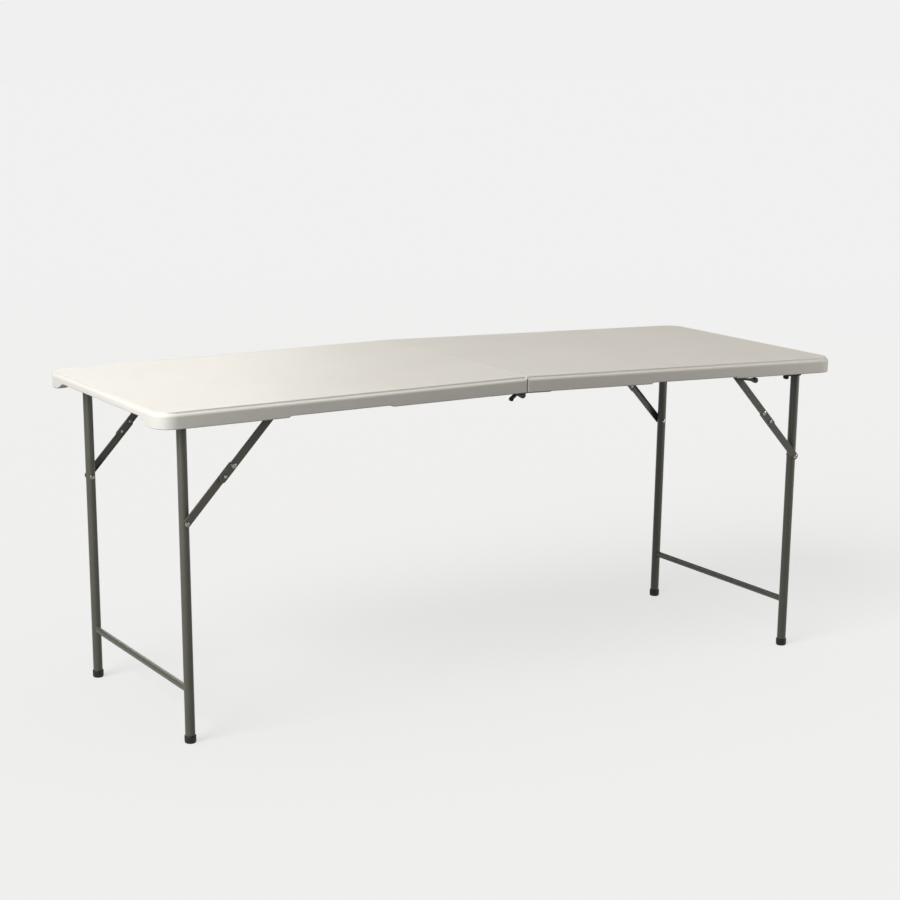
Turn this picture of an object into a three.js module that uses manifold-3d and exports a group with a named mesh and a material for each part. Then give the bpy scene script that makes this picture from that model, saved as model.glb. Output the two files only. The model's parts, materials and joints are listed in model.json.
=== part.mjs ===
// Folding table: two hollow moulded half tops hinged in the middle, with a steel leg frame under
// each outer end. Millimetres, +Z up, origin on the floor under the middle of the top.
// X runs along the table, -X is left. -Y is the front, +Y the rear.
//
// Both halves are the same assembly, the left one turned half a turn about Z. Inside a half,
// x runs outwards from the fold axis, z is the height above that axis, and y is across the table.

import * as THREE from 'three';
import { mergeVertices } from 'three/addons/utils/BufferGeometryUtils.js';
import Module from 'manifold-3d';

const wasm = await Module();
wasm.setup();

// Tabletop
const HALF_LENGTH = 899.4;
const TOP_WIDTH = 680;
const END_HEIGHT = 742;
const CROWN = THREE.MathUtils.degToRad(0.95);
const PANEL_HEIGHT = 37;
const DECK_THICKNESS = 15.5;
const RIM_WIDTH = 24;
const CORNER_RADIUS = 45;
const EDGE_ROUNDING = 7;
const SEAM_SETBACK = 0.3;
const SKIN = 2.8;
const VOID_INSET = 4;
const RIM_VOID_DEPTH = 30.5;
const RIB_COUNT = 5;
const RIB_PITCH = 105;
const RIB_THICKNESS = 3;
const VENT_RADIUS = 4;
const VENT_Y = 270;

// Shallow relief in the lower edge of both long sides, a finger gap when the table is folded
const RELIEF_START = 345;
const RELIEF_END = 600;
const RELIEF_DEPTH = 3.5;
const RELIEF_SLOPE = 6;

// Deep relief in the lower edge of the outer end, a hand hold
const END_RELIEF_FLAT = 230;
const END_RELIEF_HALF = 280;
const END_RELIEF_DEPTH = 16;

// Fold axis, below the rims so that the folded halves stand apart
const TOP_ABOVE_AXIS = 46;
const AXIS_HEIGHT = END_HEIGHT - TOP_ABOVE_AXIS * Math.cos(CROWN) + HALF_LENGTH * Math.sin(CROWN);

// Leg frame
const LEG_X = 824;
const LEG_Y = 278;
const LEG_PIVOT_Z = 17;
const LEG_RADIUS = 11;
const LEG_WALL = 1.5;
const CROSS_TUBE_RADIUS = 8;
const CROSS_TUBE_WALL = 1.4;
const CROSS_TUBE_END = 309.5;
const CROSSBAR_RADIUS = 7.5;
const CROSSBAR_WALL = 1.3;
const CROSSBAR_ABOVE_FLOOR = 119.3;
const CAP_RADIUS = 13;
const CAP_HEIGHT = 18;
const CAP_FLOOR = 4;

// Folding brace: straight when the leg is down, and straight again when the leg is stowed
const BRACE_REACH = 208;
const BRACE_DROP = 223;
const BRACE_ANGLE = Math.atan2(BRACE_DROP, BRACE_REACH);
const BRACE_SPAN = Math.hypot(BRACE_REACH, BRACE_DROP);
const UPPER_LENGTH = (BRACE_SPAN - (BRACE_DROP - BRACE_REACH)) / 2;
const LOWER_LENGTH = BRACE_SPAN - UPPER_LENGTH;
const LINK_TAIL = 38;
const LINK_RADIUS = 8.5;
const LINK_DEPTH = 5.2;
const LINK_SHEET = 1.6;
const LOWER_LINK_FACE = 295;
const UPPER_LINK_FACE = 300.5;
const BUTTON_FROM_ELBOW = 30;
const BUTTON_RADIUS = 4.4;
const BUTTON_HOLE_RADIUS = 4.8;

// Clearances and round fits
const GAP = 0.3;
const PIN_RADIUS = 3;
const FIT_HOLE_RADIUS = 3.3;
const RIVET_HEAD_RADIUS = 5.5;
const WASHER_RADIUS = 6;
const UNDER_RIM = TOP_ABOVE_AXIS - PANEL_HEIGHT - GAP;
const HOLE_CUT_START = 300;
const HOLE_CUT_END = 340;

// Side rails
const RAIL_FACE = 306;
const RAIL_SHEET = 1.8;
const RAIL_START = 36;
const RAIL_END = 852;
const RAIL_TOP = 30;
const RAIL_BOTTOM = 9.5;
const RAIL_FLANGE_EDGE = 315;
const RAIL_EAR_RADIUS = 14;
const RAIL_EAR_FOOT = 8;

// Fold hinges
const LEAF_SHEET = 2.5;
const LEAF_FACE = RAIL_FACE + RAIL_SHEET + GAP;
const LEAF_RING_RADIUS = 6.5;
const LEAF_NECK_LOW = 3;
const LEAF_NECK_START = 12;
const LEAF_NECK_END = 80;
const LEAF_END = 95;
const LEAF_TOP = RAIL_TOP - 4;
const SPACER_START = 44;
const SPACER_END = 84;
const PIN_HEAD_DEPTH = 3.8;
const PIN_CAP_RADIUS = 7;
const PIN_CAP_START = LEAF_FACE + 2 * LEAF_SHEET + 2 * GAP;
const PIN_CAP_END = 322;

// Fold lock bolt and its guide
const BOLT_INNER = 322.6;
const BOLT_OUTER = 333;
const BOLT_START = 3;
const BOLT_END = 24;
const BOLT_TOP = UNDER_RIM - GAP;
const BOLT_LOW = BOLT_TOP - 4.8;
const BOLT_GRIP_X = 36.5;
const BOLT_GRIP_Z = -4.8;
const BOLT_GRIP_RADIUS = 4;
const BOLT_ARM = 2.5;
const GUIDE_START = 8;
const GUIDE_END = 12.5;
const GUIDE_INNER = 319.5;
const GUIDE_OUTER = 335.6;
const GUIDE_SHEET = 1.9;
const GUIDE_FIT = 0.4;

// Closing latch and buffer
const LATCH_PIVOT_X = 622;
const LATCH_PIVOT_Z = UNDER_RIM - 4.1;
const LATCH_LENGTH = 40.5;
const LATCH_DROP = THREE.MathUtils.degToRad(7.4);
const LATCH_RADIUS = 2.5;
const LATCH_KNOB_RADIUS = 6.7;
const LATCH_INNER = 319;
const LATCH_OUTER = 329;
const AXLE_RADIUS = 1.5;
const BRACKET_INNER = 316.5;
const BRACKET_OUTER = 333;
const BRACKET_FOOT = 1.2;
const BRACKET_EAR = 2;
const BRACKET_HALF_EAR = 4;
const BRACKET_HALF_FOOT = 13;
const BUFFER_START = 757;
const BUFFER_END = 800;
const BUFFER_INNER = 319;
const BUFFER_OUTER = 331;
const BUFFER_FOOT = 4.2;
const BUFFER_RADIUS = 5.5;
const BUFFER_DROP = 6.5;

// Sides of the round pieces
const TUBE_SIDES = 20;
const SMALL_SIDES = 12;

const material = {
  moulding: new THREE.MeshStandardMaterial({ color: 0xe9e8e4, roughness: 0.55, metalness: 0 }),
  frame: new THREE.MeshStandardMaterial({ color: 0x66665d, roughness: 0.45, metalness: 0.3 }),
  zinc: new THREE.MeshStandardMaterial({ color: 0xb9b9b4, roughness: 0.35, metalness: 0.9 }),
  blackSteel: new THREE.MeshStandardMaterial({ color: 0x1d1d1c, roughness: 0.5, metalness: 0.4 }),
  blackPlastic: new THREE.MeshStandardMaterial({ color: 0x171717, roughness: 0.6, metalness: 0 }),
  rubber: new THREE.MeshStandardMaterial({ color: 0x141414, roughness: 0.85, metalness: 0 }),
};

// ---- Solids from three.js geometry -------------------------------------------------------------

function toSolid(geometry) {
  const bare = geometry.clone();
  bare.deleteAttribute('normal');
  bare.deleteAttribute('uv');
  const merged = mergeVertices(bare);
  const index = merged.index.array;
  const triangles = [];
  for (let i = 0; i < index.length; i += 3) {
    const [a, b, c] = [index[i], index[i + 1], index[i + 2]];
    if (a !== b && b !== c && c !== a) triangles.push(a, b, c);
  }
  return new wasm.Manifold(new wasm.Mesh({
    numProp: 3,
    vertProperties: merged.attributes.position.array,
    triVerts: new Uint32Array(triangles),
  }));
}

function toMesh(name, solid, look) {
  const { vertProperties, triVerts } = solid.getMesh();
  const geometry = new THREE.BufferGeometry();
  geometry.setAttribute('position', new THREE.BufferAttribute(vertProperties, 3));
  geometry.setIndex(new THREE.BufferAttribute(triVerts, 1));
  geometry.computeVertexNormals();
  const mesh = new THREE.Mesh(geometry, look.clone());
  mesh.name = name;
  return mesh;
}

const PLAIN_EXTRUSION = { bevelEnabled: false, curveSegments: 4 };

// A shape drawn in x and y, standing from z0 to z1.
function slab(shape, z0, z1) {
  const geometry = new THREE.ExtrudeGeometry(shape, { ...PLAIN_EXTRUSION, depth: z1 - z0 });
  return toSolid(geometry.translate(0, 0, z0));
}

// A shape drawn in x and z, between two distances from the table's middle on one side.
function plate(shape, side, y0, y1) {
  const geometry = new THREE.ExtrudeGeometry(shape, { ...PLAIN_EXTRUSION, depth: y1 - y0 });
  geometry.rotateX(Math.PI / 2);
  return toSolid(geometry.translate(0, side > 0 ? y1 : -y0, 0));
}

// A shape drawn in y and z, between two distances along the table.
function crossPlate(shape, x0, x1) {
  const geometry = new THREE.ExtrudeGeometry(shape, { ...PLAIN_EXTRUSION, depth: x1 - x0 });
  geometry.rotateX(Math.PI / 2);
  geometry.rotateZ(Math.PI / 2);
  return toSolid(geometry.translate(x0, 0, 0));
}

// A block between two distances from the table's middle on one side.
function block(side, x0, x1, y0, y1, z0, z1) {
  const geometry = new THREE.BoxGeometry(x1 - x0, y1 - y0, z1 - z0);
  return toSolid(geometry.translate((x0 + x1) / 2, side * (y0 + y1) / 2, (z0 + z1) / 2));
}

// A round bar across the table.
function crossRod(radius, x, z, y0, y1) {
  const sides = radius < 7 ? SMALL_SIDES : TUBE_SIDES;
  const geometry = new THREE.CylinderGeometry(radius, radius, Math.abs(y1 - y0), sides);
  return toSolid(geometry.translate(x, (y0 + y1) / 2, z));
}

// A round hole across everything that stands on the rail's side of the table.
function sideHole(side, radius, x, z) {
  return crossRod(radius, x, z, side * HOLE_CUT_START, side * HOLE_CUT_END);
}

function uprightRod(radius, x, y, z0, z1) {
  const geometry = new THREE.CylinderGeometry(radius, radius, z1 - z0, TUBE_SIDES);
  geometry.rotateX(Math.PI / 2);
  return toSolid(geometry.translate(x, y, (z0 + z1) / 2));
}

// A turned piece: radius and distance pairs along y, mirrored for the side that looks along -y.
function turned(side, profile) {
  const points = profile.map(([radius, y]) => new THREE.Vector2(radius, y));
  const geometry = new THREE.LatheGeometry(points, SMALL_SIDES);
  if (side < 0) geometry.rotateX(Math.PI);
  return toSolid(geometry);
}

function roundedRectangle(x0, x1, halfWidth, innerRadius, outerRadius) {
  const shape = new THREE.Shape();
  const quarter = Math.PI / 2;
  shape.absarc(x1 - outerRadius, -halfWidth + outerRadius, outerRadius, -quarter, 0, false);
  shape.absarc(x1 - outerRadius, halfWidth - outerRadius, outerRadius, 0, quarter, false);
  shape.absarc(x0 + innerRadius, halfWidth - innerRadius, innerRadius, quarter, 2 * quarter, false);
  shape.absarc(x0 + innerRadius, -halfWidth + innerRadius, innerRadius, 2 * quarter, 3 * quarter, false);
  shape.closePath();
  return shape;
}

function polygon(points) {
  return new THREE.Shape(points.map(([x, z]) => new THREE.Vector2(x, z)));
}

function capsule(x0, x1, radius) {
  const shape = new THREE.Shape();
  shape.absarc(x1, 0, radius, -Math.PI / 2, Math.PI / 2, false);
  shape.absarc(x0, 0, radius, Math.PI / 2, 1.5 * Math.PI, false);
  shape.closePath();
  return shape;
}

// ---- Tabletop half -----------------------------------------------------------------------------

function makePanel(name) {
  const top = TOP_ABOVE_AXIS;
  const bottom = top - PANEL_HEIGHT;
  const halfWidth = TOP_WIDTH / 2;
  const overrun = 60;
  const outline = roundedRectangle(-overrun, HALF_LENGTH, halfWidth, CORNER_RADIUS, CORNER_RADIUS);
  const rounded = new THREE.ExtrudeGeometry(outline, {
    depth: PANEL_HEIGHT,
    bevelThickness: EDGE_ROUNDING,
    bevelSize: EDGE_ROUNDING,
    bevelOffset: -EDGE_ROUNDING,
    bevelSegments: 3,
    curveSegments: 4,
  });
  rounded.translate(0, 0, top - PANEL_HEIGHT - EDGE_ROUNDING);
  const beyond = 2 * overrun;
  // The end at the seam is upright when the half stands at its working slope.
  const seamCutter = new THREE.BoxGeometry(beyond, TOP_WIDTH + 2, 2 * beyond);
  seamCutter.translate(SEAM_SETBACK - beyond / 2, 0, 0).rotateY(-CROWN);
  let panel = toSolid(rounded)
    .subtract(toSolid(seamCutter))
    .subtract(block(1, -beyond, HALF_LENGTH + 1, -halfWidth - 1, halfWidth + 1, -beyond, bottom));

  const recessStart = RIM_WIDTH + 2;
  const recessEnd = HALF_LENGTH - RIM_WIDTH;
  const recessTop = top - DECK_THICKNESS;
  const recessRadius = CORNER_RADIUS - RIM_WIDTH;
  const recessShape = roundedRectangle(recessStart, recessEnd, halfWidth - RIM_WIDTH, 8, recessRadius);
  panel = panel.subtract(slab(recessShape, bottom - 1, recessTop));

  const voidTop = top - SKIN;
  const voidBottom = top - RIM_VOID_DEPTH;
  const wholeVoid = slab(
    roundedRectangle(VOID_INSET, HALF_LENGTH - VOID_INSET, halfWidth - VOID_INSET, 6,
      CORNER_RADIUS - VOID_INSET),
    voidBottom, voidTop);
  const keepShape = roundedRectangle(recessStart - SKIN, recessEnd + SKIN, halfWidth - RIM_WIDTH + SKIN, 10,
    recessRadius + SKIN);
  let hollow = wholeVoid.subtract(slab(keepShape, voidBottom - 1, recessTop + SKIN));
  for (let i = 0; i < RIB_COUNT; i += 1) {
    const y = (i - (RIB_COUNT - 1) / 2) * RIB_PITCH;
    const rib = block(1, recessStart, recessEnd, y - RIB_THICKNESS / 2, y + RIB_THICKNESS / 2,
      recessTop, top - 1);
    hollow = hollow.subtract(rib);
  }
  // The hand hold takes the rim's void with it, less one skin.
  const handHold = (skin) => polygon([
    [-END_RELIEF_HALF - skin, bottom - 1],
    [END_RELIEF_HALF + skin, bottom - 1],
    [END_RELIEF_FLAT + skin, bottom + END_RELIEF_DEPTH + skin],
    [-END_RELIEF_FLAT - skin, bottom + END_RELIEF_DEPTH + skin],
  ]);
  hollow = hollow.subtract(crossPlate(handHold(SKIN), recessEnd, HALF_LENGTH));
  panel = panel.subtract(hollow);
  panel = panel.subtract(crossPlate(handHold(0), recessEnd - 1, HALF_LENGTH + 1));

  const ventGeometry = new THREE.CylinderGeometry(VENT_RADIUS, VENT_RADIUS, 3 * SKIN, SMALL_SIDES);
  ventGeometry.rotateZ(Math.PI / 2);
  panel = panel.subtract(toSolid(ventGeometry.translate(recessEnd, VENT_Y, bottom + 12)));

  const relief = polygon([
    [RELIEF_START, bottom - 1],
    [RELIEF_END, bottom - 1],
    [RELIEF_END - RELIEF_SLOPE, bottom + RELIEF_DEPTH],
    [RELIEF_START + RELIEF_SLOPE, bottom + RELIEF_DEPTH],
  ]);
  for (const side of [-1, 1]) {
    panel = panel.subtract(plate(relief, side, halfWidth - RIM_WIDTH - 1, halfWidth + 1));
  }
  return toMesh(name, panel, material.moulding);
}

// ---- Rails and hinges --------------------------------------------------------------------------

function makeRail(name, side) {
  const web = new THREE.Shape();
  web.moveTo(RAIL_START, RAIL_TOP);
  web.lineTo(RAIL_START, RAIL_BOTTOM);
  web.lineTo(LEG_X - RAIL_EAR_RADIUS - RAIL_EAR_FOOT, RAIL_BOTTOM);
  web.absarc(LEG_X, LEG_PIVOT_Z, RAIL_EAR_RADIUS, 1.2 * Math.PI, 1.8 * Math.PI, false);
  web.lineTo(LEG_X + RAIL_EAR_RADIUS + RAIL_EAR_FOOT, RAIL_BOTTOM);
  web.lineTo(RAIL_END, RAIL_BOTTOM);
  web.lineTo(RAIL_END, RAIL_TOP);
  web.closePath();
  const outer = RAIL_FACE + RAIL_SHEET;
  const rail = plate(web, side, RAIL_FACE, outer)
    .add(block(side, RAIL_START, RAIL_END, outer - 1, RAIL_FLANGE_EDGE, RAIL_TOP - RAIL_SHEET, RAIL_TOP))
    .subtract(sideHole(side, CROSS_TUBE_RADIUS + GAP, LEG_X, LEG_PIVOT_Z))
    .subtract(sideHole(side, FIT_HOLE_RADIUS, LEG_X - BRACE_REACH, LEG_PIVOT_Z));
  return toMesh(name, rail, material.frame);
}

// The leaf on the +y side runs in the inner layer and the other one in the outer layer, so that
// the two leaves that meet on one pin lie side by side.
function makeLeaf(name, side) {
  const inner = LEAF_FACE + (side > 0 ? 0 : LEAF_SHEET + GAP);
  const shape = new THREE.Shape();
  shape.moveTo(RAIL_START, LEAF_TOP);
  shape.lineTo(RAIL_START, BOLT_TOP);
  shape.absarc(0, 0, LEAF_RING_RADIUS, 0.45 * Math.PI, 1.75 * Math.PI, false);
  shape.lineTo(LEAF_NECK_START, LEAF_NECK_LOW);
  shape.lineTo(LEAF_NECK_END, LEAF_NECK_LOW);
  shape.lineTo(LEAF_END, RAIL_BOTTOM);
  shape.lineTo(LEAF_END, LEAF_TOP);
  shape.closePath();
  let leaf = plate(shape, side, inner, inner + LEAF_SHEET);
  if (side < 0) {
    const spacer = block(side, SPACER_START, SPACER_END, LEAF_FACE, inner + 1, RAIL_BOTTOM + 3, LEAF_TOP - 2);
    leaf = leaf.add(spacer);
  }
  return toMesh(name, leaf.subtract(sideHole(side, FIT_HOLE_RADIUS, 0, 0)), material.frame);
}

function makeHingePin(name, side) {
  const headEnd = LEAF_FACE - GAP;
  const headStart = headEnd - PIN_HEAD_DEPTH;
  const pin = turned(side, [
    [0, headStart], [RIVET_HEAD_RADIUS - 1, headStart], [RIVET_HEAD_RADIUS, headStart + 1],
    [RIVET_HEAD_RADIUS, headEnd], [PIN_RADIUS, headEnd], [PIN_RADIUS, PIN_CAP_START],
    [PIN_CAP_RADIUS, PIN_CAP_START], [PIN_CAP_RADIUS, PIN_CAP_END - 1],
    [PIN_CAP_RADIUS - 1, PIN_CAP_END], [0, PIN_CAP_END],
  ]);
  return toMesh(name, pin, material.blackSteel);
}

// ---- Leg frame, drawn about its own pivot axis --------------------------------------------------

const LEG_FLOOR_Z = (LEG_X * Math.sin(CROWN) - AXIS_HEIGHT) / Math.cos(CROWN) - LEG_PIVOT_Z;

function makeLeg(name, side) {
  const y = side * LEG_Y;
  const bottom = LEG_FLOOR_Z + CAP_FLOOR + GAP;
  const leg = uprightRod(LEG_RADIUS, 0, y, bottom, 0)
    .subtract(uprightRod(LEG_RADIUS - LEG_WALL, 0, y, bottom - 1, 1))
    .subtract(crossRod(CROSS_TUBE_RADIUS + GAP, 0, 0, y - 20, y + 20))
    .subtract(crossRod(FIT_HOLE_RADIUS, 0, -BRACE_DROP, y - 20, y + 20));
  return toMesh(name, leg, material.frame);
}

function makeCrossTube(name) {
  const tube = crossRod(CROSS_TUBE_RADIUS, 0, 0, -CROSS_TUBE_END, CROSS_TUBE_END)
    .subtract(crossRod(CROSS_TUBE_RADIUS - CROSS_TUBE_WALL, 0, 0, -CROSS_TUBE_END - 1, CROSS_TUBE_END + 1));
  return toMesh(name, tube, material.frame);
}

function makeCrossbar(name) {
  const z = LEG_FLOOR_Z + CROSSBAR_ABOVE_FLOOR;
  let bar = crossRod(CROSSBAR_RADIUS, 0, z, -LEG_Y, LEG_Y)
    .subtract(crossRod(CROSSBAR_RADIUS - CROSSBAR_WALL, 0, z, -LEG_Y - 1, LEG_Y + 1));
  for (const side of [-1, 1]) {
    bar = bar.subtract(uprightRod(LEG_RADIUS + GAP, 0, side * LEG_Y, z - 20, z + 20));
  }
  return toMesh(name, bar, material.frame);
}

function makeFootCap(name, side) {
  const z = LEG_FLOOR_Z;
  const profile = [
    [0, z - 2], [CAP_RADIUS - 1.5, z - 2], [CAP_RADIUS, z + 2], [CAP_RADIUS, z + CAP_HEIGHT - 1],
    [CAP_RADIUS - 1, z + CAP_HEIGHT], [0, z + CAP_HEIGHT],
  ];
  const points = profile.map(([radius, height]) => new THREE.Vector2(radius, height));
  const turnedCap = new THREE.LatheGeometry(points, TUBE_SIDES).rotateX(Math.PI / 2);
  // The lathe stands along y; a quarter turn stands it along z, and the cap is cut level with the floor.
  const floorCutter = new THREE.BoxGeometry(100, 100, 40);
  floorCutter.translate(0, 0, -20).rotateY(-CROWN).translate(0, side * LEG_Y, z);
  const cap = toSolid(turnedCap.translate(0, side * LEG_Y, 0))
    .subtract(uprightRod(LEG_RADIUS + GAP, 0, side * LEG_Y, z + CAP_FLOOR, z + CAP_HEIGHT + 1))
    .subtract(toSolid(floorCutter));
  return toMesh(name, cap, material.blackPlastic);
}

function makeLegPin(name, side) {
  const innerFace = LEG_Y - LEG_RADIUS;
  const tail = LOWER_LINK_FACE + GAP;
  const pin = turned(side, [
    [0, innerFace - 3.2], [RIVET_HEAD_RADIUS - 2, innerFace - 2.8], [RIVET_HEAD_RADIUS, innerFace - 1],
    [RIVET_HEAD_RADIUS, innerFace - GAP], [PIN_RADIUS, innerFace - GAP], [PIN_RADIUS, tail],
    [RIVET_HEAD_RADIUS, tail], [RIVET_HEAD_RADIUS, tail + 0.7], [RIVET_HEAD_RADIUS - 1.5, tail + 1.9],
    [0, tail + 2.1],
  ]);
  return toMesh(name, pin, material.zinc);
}

// ---- Brace, each link drawn along +x from its own pivot, outer face at y = 0 ---------------------

function makeLink(name, length, holes) {
  const web = plate(capsule(0, length, LINK_RADIUS), 1, -LINK_SHEET, 0);
  let link = web;
  for (const edge of [-1, 1]) {
    const z = edge * (LINK_RADIUS - LINK_SHEET / 2);
    const flange = new THREE.BoxGeometry(length, LINK_DEPTH, LINK_SHEET);
    link = link.add(toSolid(flange.translate(length / 2, -LINK_DEPTH / 2, z)));
  }
  for (const [x, radius] of holes) {
    link = link.subtract(crossRod(radius, x, 0, -20, 20));
  }
  return toMesh(name, link, material.frame);
}

function makeElbowRivet(name) {
  const rivet = turned(1, [
    [0, -LINK_DEPTH], [PIN_RADIUS, -LINK_DEPTH], [PIN_RADIUS, GAP], [WASHER_RADIUS, GAP],
    [WASHER_RADIUS, 1], [WASHER_RADIUS - 1.6, 2.2], [0, 2.4],
  ]);
  return toMesh(name, rivet, material.zinc);
}

function makeBracePivot(name) {
  const web = RAIL_FACE - UPPER_LINK_FACE;
  const back = web + RAIL_SHEET + GAP;
  const pivot = turned(1, [
    [0, -LINK_DEPTH], [PIN_RADIUS, -LINK_DEPTH], [PIN_RADIUS, GAP], [WASHER_RADIUS, GAP],
    [WASHER_RADIUS, web - GAP], [PIN_RADIUS, web - GAP], [PIN_RADIUS, back], [WASHER_RADIUS - 1, back],
    [WASHER_RADIUS - 1, back + 0.8], [WASHER_RADIUS - 2.4, back + 1.9], [0, back + 2],
  ]);
  return toMesh(name, pivot, material.frame);
}

function makeLockButton(name) {
  const collarFace = -LINK_SHEET - GAP;
  const collarBack = collarFace - 0.8;
  const button = turned(1, [
    [0, -LINK_DEPTH], [BUTTON_RADIUS - 0.4, -LINK_DEPTH], [BUTTON_RADIUS - 0.4, collarBack],
    [WASHER_RADIUS, collarBack], [WASHER_RADIUS, collarFace], [BUTTON_RADIUS, collarFace],
    [BUTTON_RADIUS, 2], [BUTTON_RADIUS - 0.8, 2.6], [0, 2.8],
  ]);
  return toMesh(name, button, material.zinc);
}

// ---- Small hardware under the rims ---------------------------------------------------------------

// A flat bar that slides under the rim, with a slanted arm down to a round finger grip.
function makeLockBolt(name, side) {
  const arm = polygon([
    [BOLT_END - 1.5, BOLT_LOW],
    [BOLT_END, BOLT_TOP],
    [BOLT_GRIP_X + BOLT_ARM - 1, BOLT_GRIP_Z + BOLT_ARM],
    [BOLT_GRIP_X - BOLT_ARM + 1, BOLT_GRIP_Z - BOLT_ARM],
  ]);
  const bolt = block(side, BOLT_START, BOLT_END, BOLT_INNER, BOLT_OUTER, BOLT_LOW, BOLT_TOP)
    .add(plate(arm, side, BOLT_INNER, BOLT_OUTER))
    .add(crossRod(BOLT_GRIP_RADIUS, BOLT_GRIP_X, BOLT_GRIP_Z, side * BOLT_INNER, side * BOLT_OUTER));
  return toMesh(name, bolt, material.blackPlastic);
}

function makeBoltGuide(name, side) {
  const slotLow = BOLT_LOW - GUIDE_FIT;
  const slot = block(side, GUIDE_START - 1, GUIDE_END + 1, BOLT_INNER - GUIDE_FIT, BOLT_OUTER + GUIDE_FIT,
    slotLow, UNDER_RIM + 1);
  const guide = block(side, GUIDE_START, GUIDE_END, GUIDE_INNER, GUIDE_OUTER,
    slotLow - GUIDE_SHEET, UNDER_RIM);
  return toMesh(name, guide.subtract(slot), material.blackSteel);
}

function makeLatchBracket(name, side) {
  const [x, z] = [LATCH_PIVOT_X, LATCH_PIVOT_Z];
  const earFace = BRACKET_INNER + BRACKET_EAR;
  const foot = block(side, x - BRACKET_HALF_FOOT, x + BRACKET_HALF_FOOT, BRACKET_INNER, BRACKET_OUTER,
    UNDER_RIM - BRACKET_FOOT, UNDER_RIM);
  const ear = block(side, x - BRACKET_HALF_EAR, x + BRACKET_HALF_EAR, BRACKET_INNER, earFace,
    z - BRACKET_HALF_EAR, UNDER_RIM);
  const axle = crossRod(AXLE_RADIUS, x, z, side * (earFace - 0.5), side * (LATCH_OUTER + 2));
  return toMesh(name, foot.add(ear).add(axle), material.blackSteel);
}

// The latch is drawn about its own pivot, along +x.
function makeLatch(name) {
  const outline = capsule(0, LATCH_LENGTH - LATCH_KNOB_RADIUS, LATCH_RADIUS);
  const lever = plate(outline, 1, LATCH_INNER, LATCH_OUTER)
    .add(crossRod(LATCH_KNOB_RADIUS, LATCH_LENGTH, 0, LATCH_INNER - 0.5, LATCH_OUTER + 1))
    .subtract(sideHole(1, AXLE_RADIUS + 0.2, 0, 0));
  return toMesh(name, lever, material.blackPlastic);
}

function makeBuffer(name, side) {
  const foot = block(side, BUFFER_START, BUFFER_END, BUFFER_INNER, BUFFER_OUTER,
    UNDER_RIM - BUFFER_FOOT, UNDER_RIM);
  const bulb = crossRod(BUFFER_RADIUS, BUFFER_START, UNDER_RIM - BUFFER_DROP, side * BUFFER_INNER,
    side * BUFFER_OUTER);
  return toMesh(name, foot.add(bulb), material.rubber);
}

// ---- Assembly ------------------------------------------------------------------------------------

function place(parent, child, x, y, z) {
  child.position.set(x, y, z);
  parent.add(child);
  return child;
}

// A link's group: it stands on its pivot, and on the -y side it is turned over about its length.
function linkGroup(parent, side, x, y, z, turn) {
  const group = place(parent, new THREE.Group(), x, side * y, z);
  group.rotation.order = 'YXZ';
  group.rotation.y = turn;
  group.rotation.x = side > 0 ? 0 : Math.PI;
  return group;
}

function makeLegFrame(label, nameOf) {
  const frame = new THREE.Group();
  frame.add(makeCrossTube(`leg_cross_tube_${label}`));
  frame.add(makeCrossbar(`leg_crossbar_${label}`));
  for (const side of [-1, 1]) {
    frame.add(makeLeg(nameOf('leg', side), side));
    frame.add(makeFootCap(nameOf('foot_cap', side), side));
    place(frame, makeLegPin(nameOf('leg_pin', side), side), 0, 0, -BRACE_DROP);
    const lower = linkGroup(frame, side, 0, LOWER_LINK_FACE, -BRACE_DROP, BRACE_ANGLE - Math.PI);
    lower.add(makeLink(nameOf('brace_lower_link', side), LOWER_LENGTH, [
      [0, FIT_HOLE_RADIUS],
      [LOWER_LENGTH, FIT_HOLE_RADIUS],
      [LOWER_LENGTH - BUTTON_FROM_ELBOW, BUTTON_HOLE_RADIUS],
    ]));
  }
  return frame;
}

// `front` is the side of this half, +1 or -1, that ends up at the front of the table.
function makeHalf(label, front) {
  const nameOf = (piece, side) => `${piece}_${label}_${side === front ? 'front' : 'rear'}`;
  const half = new THREE.Group();
  half.add(makePanel(`top_panel_${label}`));
  place(half, makeLegFrame(label, nameOf), LEG_X, 0, LEG_PIVOT_Z);
  for (const side of [-1, 1]) {
    half.add(makeRail(nameOf('side_rail', side), side));
    half.add(makeLeaf(nameOf('hinge_leaf', side), side));
    const upper = linkGroup(half, side, LEG_X - BRACE_REACH, UPPER_LINK_FACE, LEG_PIVOT_Z, BRACE_ANGLE);
    upper.add(makeLink(nameOf('brace_upper_link', side), UPPER_LENGTH + LINK_TAIL, [
      [0, FIT_HOLE_RADIUS],
      [UPPER_LENGTH, FIT_HOLE_RADIUS],
      [UPPER_LENGTH + BUTTON_FROM_ELBOW, BUTTON_HOLE_RADIUS],
    ]));
    upper.add(makeBracePivot(nameOf('brace_pivot', side)));
    place(upper, makeElbowRivet(nameOf('elbow_rivet', side)), UPPER_LENGTH, 0, 0);
    place(upper, makeLockButton(nameOf('lock_button', side)), UPPER_LENGTH + BUTTON_FROM_ELBOW, 0, 0);
  }
  half.add(makeLockBolt(`fold_lock_bolt_${label}`, 1));
  half.add(makeBoltGuide(`fold_lock_guide_${label}`, 1));
  half.add(makeLatchBracket(`closing_latch_bracket_${label}`, -1));
  half.add(makeBuffer(`closing_buffer_${label}`, -1));
  linkGroup(half, -1, LATCH_PIVOT_X, 0, LATCH_PIVOT_Z, LATCH_DROP).add(makeLatch(`closing_latch_${label}`));
  return half;
}

const table = new THREE.Group();
table.name = 'folding_table';

for (const [label, outwards] of [['left', -1], ['right', 1]]) {
  const half = makeHalf(label, -outwards);
  if (outwards < 0) half.rotation.z = Math.PI;
  const tilted = place(table, new THREE.Group(), 0, 0, AXIS_HEIGHT);
  tilted.rotation.y = outwards * CROWN;
  tilted.add(half);
}

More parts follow.
